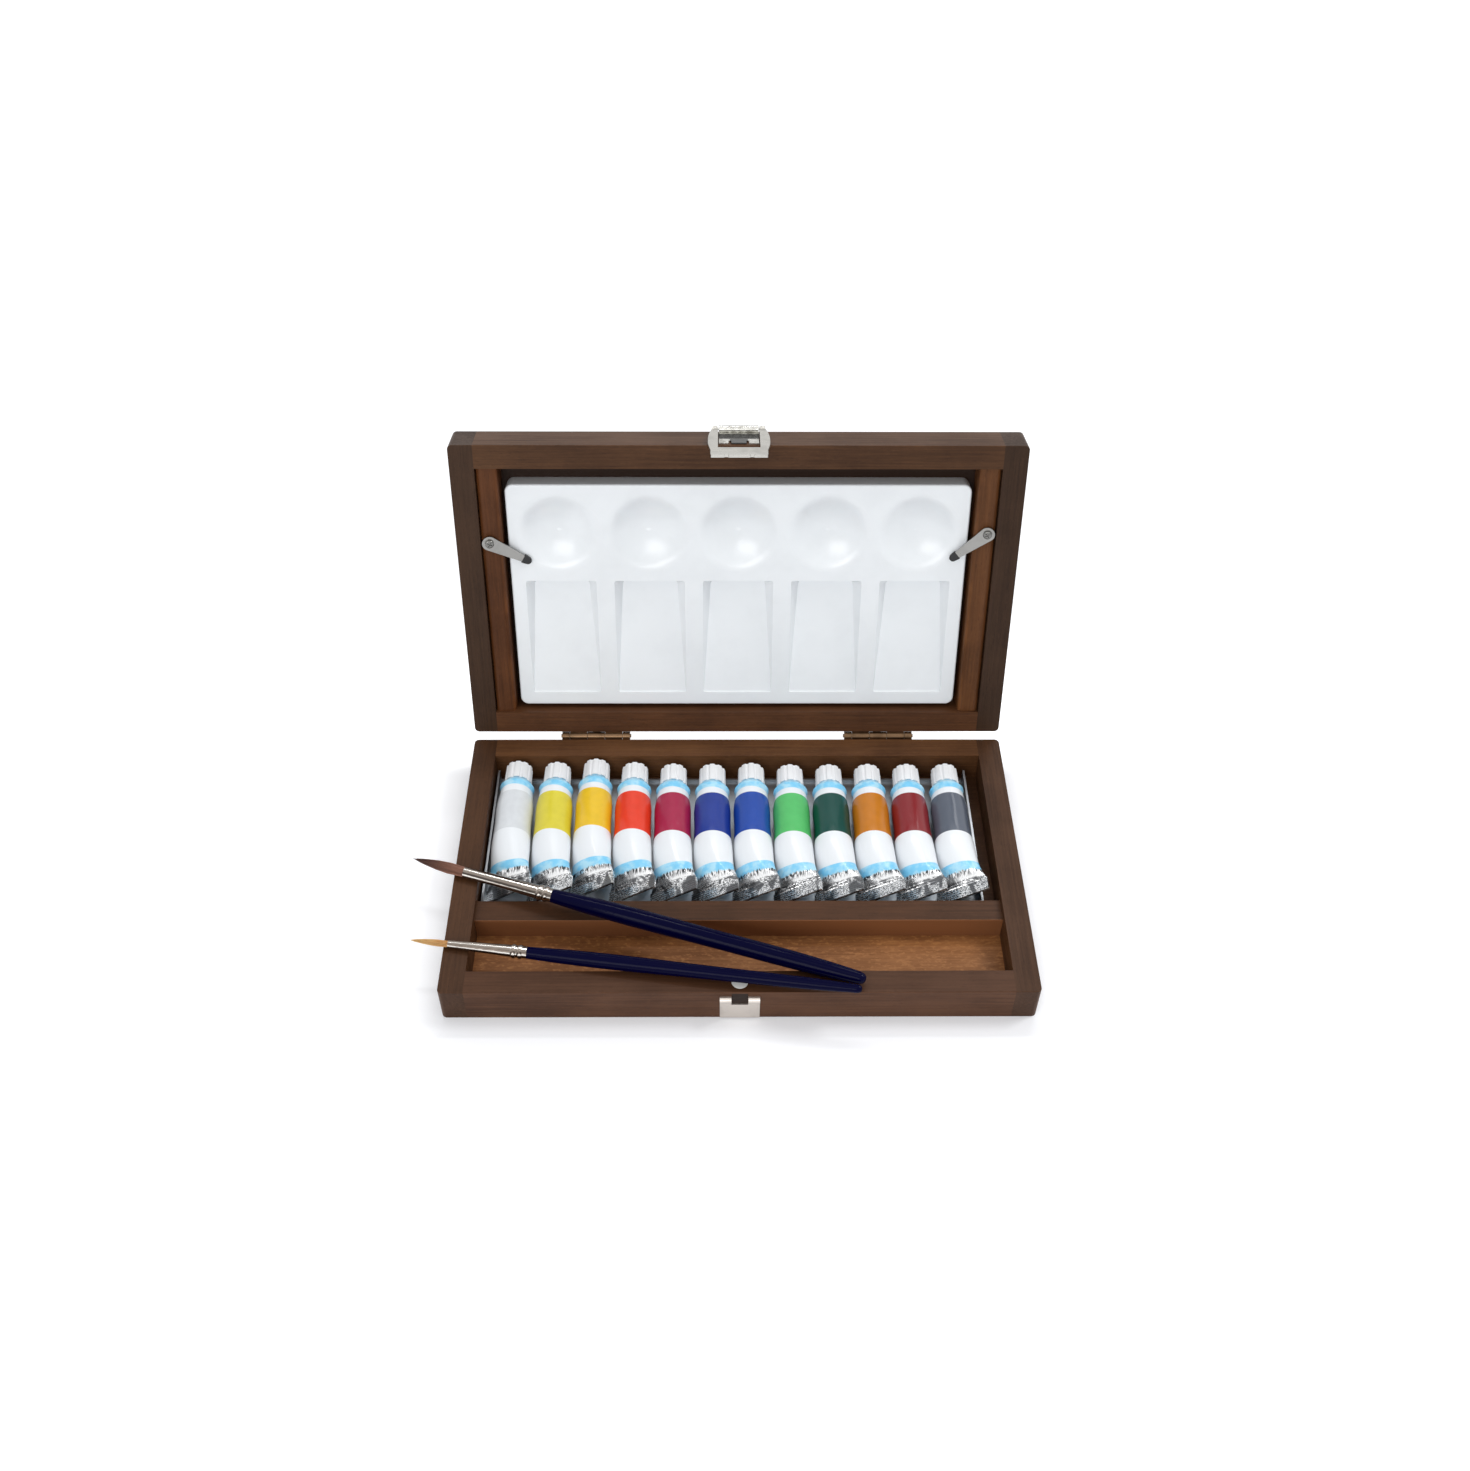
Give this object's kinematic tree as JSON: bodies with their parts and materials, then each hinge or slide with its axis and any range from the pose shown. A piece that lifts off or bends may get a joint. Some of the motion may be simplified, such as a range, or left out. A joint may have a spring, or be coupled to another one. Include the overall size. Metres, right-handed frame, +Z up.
{
  "type": "wooden watercolour paint box",
  "caption": "Hinged wooden paint box: mixing palette held in the lid by turn clips, a row of capped paint tubes, a brush trough with two brushes, and a hasp catch.",
  "frame": {"origin": "middle of the base's footprint, on the surface that the box stands on", "axes": "+X to the right along the hinge line, +Y to the back where the hinges are, +Z up"},
  "size_m": [0.2913, 0.2185, 0.1794],
  "materials": {
    "wood_boards": "satin varnish",
    "wood_battens": "satin varnish",
    "wood_floor": "satin varnish",
    "wood_panel": "satin varnish",
    "palette_white": "gloss",
    "nickel": "gloss",
    "hinge_bronze": "satin",
    "steel_screws": "satin",
    "tray_metal": "satin",
    "pad_white": "matte",
    "tip_rubber": "matte",
    "cap_white": "satin",
    "lacquer_navy": "gloss lacquer",
    "ferrule_nickel": "gloss",
    "hair_brown": "matte",
    "hair_golden": "matte",
    "tube_white": "satin",
    "tube_lemon": "satin",
    "tube_golden": "satin",
    "tube_vermilion": "satin",
    "tube_crimson": "satin",
    "tube_ultramarine": "satin",
    "tube_blue": "satin",
    "tube_light_green": "satin",
    "tube_dark_green": "satin",
    "tube_ochre": "satin",
    "tube_red_brown": "satin",
    "tube_grey": "satin"
  },
  "bodies": {
    "base": {"base_side_left": "wood_boards", "base_side_right": "wood_boards", "base_front_rail": "wood_boards", "base_back_rail": "wood_boards", "base_floor": "wood_floor", "base_divider": "wood_boards", "tube_tray": "tray_metal", "striker_plate": "nickel", "closing_pad": "pad_white", "hinge_leaves_base": "hinge_bronze", "hinge_screws_base": "steel_screws", "hinge_pins": "hinge_bronze"},
    "lid": {"lid_side_left": "wood_boards", "lid_side_right": "wood_boards", "lid_front_rail": "wood_boards", "lid_back_rail": "wood_boards", "lid_panel": "wood_panel", "batten_left": "wood_battens", "batten_right": "wood_battens", "palette": "palette_white", "hinge_leaves_lid": "hinge_bronze", "hinge_screws_lid": "steel_screws", "catch_plate": "nickel", "catch_pin": "steel_screws", "clip_screws": "steel_screws"},
    "hasp": {"catch_hasp": "nickel"},
    "clip_left": {"clip_left": "nickel", "clip_left_tip": "tip_rubber"},
    "clip_right": {"clip_right": "nickel", "clip_right_tip": "tip_rubber"},
    "tube_01": {"tube_01": "tube_white"},
    "cap_01": {"cap_01": "cap_white"},
    "tube_02": {"tube_02": "tube_lemon"},
    "cap_02": {"cap_02": "cap_white"},
    "tube_03": {"tube_03": "tube_golden"},
    "cap_03": {"cap_03": "cap_white"},
    "tube_04": {"tube_04": "tube_vermilion"},
    "cap_04": {"cap_04": "cap_white"},
    "tube_05": {"tube_05": "tube_crimson"},
    "cap_05": {"cap_05": "cap_white"},
    "tube_06": {"tube_06": "tube_ultramarine"},
    "cap_06": {"cap_06": "cap_white"},
    "tube_07": {"tube_07": "tube_blue"},
    "cap_07": {"cap_07": "cap_white"},
    "tube_08": {"tube_08": "tube_light_green"},
    "cap_08": {"cap_08": "cap_white"},
    "tube_09": {"tube_09": "tube_dark_green"},
    "cap_09": {"cap_09": "cap_white"},
    "tube_10": {"tube_10": "tube_ochre"},
    "cap_10": {"cap_10": "cap_white"},
    "tube_11": {"tube_11": "tube_red_brown"},
    "cap_11": {"cap_11": "cap_white"},
    "tube_12": {"tube_12": "tube_grey"},
    "cap_12": {"cap_12": "cap_white"},
    "brush_large": {"brush_large_handle": "lacquer_navy", "brush_large_ferrule": "ferrule_nickel", "brush_large_hair": "hair_brown"},
    "brush_small": {"brush_small_handle": "lacquer_navy", "brush_small_ferrule": "ferrule_nickel", "brush_small_hair": "hair_golden"}
  },
  "joints": [
    {"name": "lid_hinge", "type": "hinge", "parent": "base", "child": "lid", "pos_m": [0, 0.0802, 0.01975], "axis": [-1, 0, 0], "range_deg": [-104.3, 0]},
    {"name": "hasp_hinge", "type": "hinge", "parent": "lid", "child": "hasp", "pos_m": [0, 0.13537, 0.1708], "axis": [-1, 0, 0], "range_deg": [0, 100]},
    {"name": "clip_left_turn", "type": "hinge", "parent": "lid", "child": "clip_left", "pos_m": [-0.1192, 0.10727, 0.12492], "axis": [-0.2079, 0.9478, -0.2416], "range_deg": [-121, 59]},
    {"name": "clip_right_turn", "type": "hinge", "parent": "lid", "child": "clip_right", "pos_m": [0.1192, 0.10848, 0.12967], "axis": [-0.2232, -0.9446, 0.2408], "range_deg": [-132, 48]},
    {"name": "tube_01_tip", "type": "hinge", "parent": "base", "child": "tube_01", "pos_m": [-0.11125, -0.018, 0.0222], "axis": [1, 0, 0], "range_deg": [0, 35]},
    {"name": "cap_01_turn", "type": "hinge", "parent": "tube_01", "child": "cap_01", "pos_m": [-0.11125, 0.0515, 0.01355], "axis": [0, 1, 0], "continuous": true},
    {"name": "tube_02_tip", "type": "hinge", "parent": "base", "child": "tube_02", "pos_m": [-0.09155, -0.0187, 0.0222], "axis": [1, 0, 0], "range_deg": [0, 35]},
    {"name": "cap_02_turn", "type": "hinge", "parent": "tube_02", "child": "cap_02", "pos_m": [-0.09155, 0.0508, 0.01355], "axis": [0, 1, 0], "continuous": true},
    {"name": "tube_03_tip", "type": "hinge", "parent": "base", "child": "tube_03", "pos_m": [-0.07185, -0.0165, 0.0222], "axis": [1, 0, 0], "range_deg": [0, 35]},
    {"name": "cap_03_turn", "type": "hinge", "parent": "tube_03", "child": "cap_03", "pos_m": [-0.07185, 0.053, 0.01355], "axis": [0, 1, 0], "continuous": true},
    {"name": "tube_04_tip", "type": "hinge", "parent": "base", "child": "tube_04", "pos_m": [-0.05215, -0.0189, 0.0222], "axis": [1, 0, 0], "range_deg": [0, 35]},
    {"name": "cap_04_turn", "type": "hinge", "parent": "tube_04", "child": "cap_04", "pos_m": [-0.05215, 0.0506, 0.01355], "axis": [0, 1, 0], "continuous": true},
    {"name": "tube_05_tip", "type": "hinge", "parent": "base", "child": "tube_05", "pos_m": [-0.03245, -0.0199, 0.0222], "axis": [1, 0, 0], "range_deg": [0, 35]},
    {"name": "cap_05_turn", "type": "hinge", "parent": "tube_05", "child": "cap_05", "pos_m": [-0.03245, 0.0496, 0.01355], "axis": [0, 1, 0], "continuous": true},
    {"name": "tube_06_tip", "type": "hinge", "parent": "base", "child": "tube_06", "pos_m": [-0.01275, -0.0201, 0.0222], "axis": [1, 0, 0], "range_deg": [0, 35]},
    {"name": "cap_06_turn", "type": "hinge", "parent": "tube_06", "child": "cap_06", "pos_m": [-0.01275, 0.0494, 0.01355], "axis": [0, 1, 0], "continuous": true},
    {"name": "tube_07_tip", "type": "hinge", "parent": "base", "child": "tube_07", "pos_m": [0.00695, -0.0195, 0.0222], "axis": [1, 0, 0], "range_deg": [0, 35]},
    {"name": "cap_07_turn", "type": "hinge", "parent": "tube_07", "child": "cap_07", "pos_m": [0.00695, 0.05, 0.01355], "axis": [0, 1, 0], "continuous": true},
    {"name": "tube_08_tip", "type": "hinge", "parent": "base", "child": "tube_08", "pos_m": [0.02665, -0.0205, 0.0222], "axis": [1, 0, 0], "range_deg": [0, 35]},
    {"name": "cap_08_turn", "type": "hinge", "parent": "tube_08", "child": "cap_08", "pos_m": [0.02665, 0.049, 0.01355], "axis": [0, 1, 0], "continuous": true},
    {"name": "tube_09_tip", "type": "hinge", "parent": "base", "child": "tube_09", "pos_m": [0.04635, -0.0205, 0.0222], "axis": [1, 0, 0], "range_deg": [0, 35]},
    {"name": "cap_09_turn", "type": "hinge", "parent": "tube_09", "child": "cap_09", "pos_m": [0.04635, 0.049, 0.01355], "axis": [0, 1, 0], "continuous": true},
    {"name": "tube_10_tip", "type": "hinge", "parent": "base", "child": "tube_10", "pos_m": [0.06605, -0.0203, 0.0222], "axis": [1, 0, 0], "range_deg": [0, 35]},
    {"name": "cap_10_turn", "type": "hinge", "parent": "tube_10", "child": "cap_10", "pos_m": [0.06605, 0.0492, 0.01355], "axis": [0, 1, 0], "continuous": true},
    {"name": "tube_11_tip", "type": "hinge", "parent": "base", "child": "tube_11", "pos_m": [0.08575, -0.0203, 0.0222], "axis": [1, 0, 0], "range_deg": [0, 35]},
    {"name": "cap_11_turn", "type": "hinge", "parent": "tube_11", "child": "cap_11", "pos_m": [0.08575, 0.0492, 0.01355], "axis": [0, 1, 0], "continuous": true},
    {"name": "tube_12_tip", "type": "hinge", "parent": "base", "child": "tube_12", "pos_m": [0.10545, -0.0201, 0.0222], "axis": [1, 0, 0], "range_deg": [0, 35]},
    {"name": "cap_12_turn", "type": "hinge", "parent": "tube_12", "child": "cap_12", "pos_m": [0.10545, 0.0494, 0.01355], "axis": [0, 1, 0], "continuous": true},
    {"name": "brush_large_move", "type": "hinge", "parent": "base", "child": "brush_large", "pos_m": [0, -0.1, 0.0139], "axis": [1, 0, 0], "range_deg": [0, 180]},
    {"name": "brush_small_move", "type": "hinge", "parent": "base", "child": "brush_small", "pos_m": [0, -0.1, 0.0139], "axis": [1, 0, 0], "range_deg": [0, 180]}
  ],
  "couplings": [
    {"joint": "brush_large_move", "follows": "lid_hinge", "ratio": -1.7257},
    {"joint": "brush_small_move", "follows": "lid_hinge", "ratio": -1.7257}
  ]
}
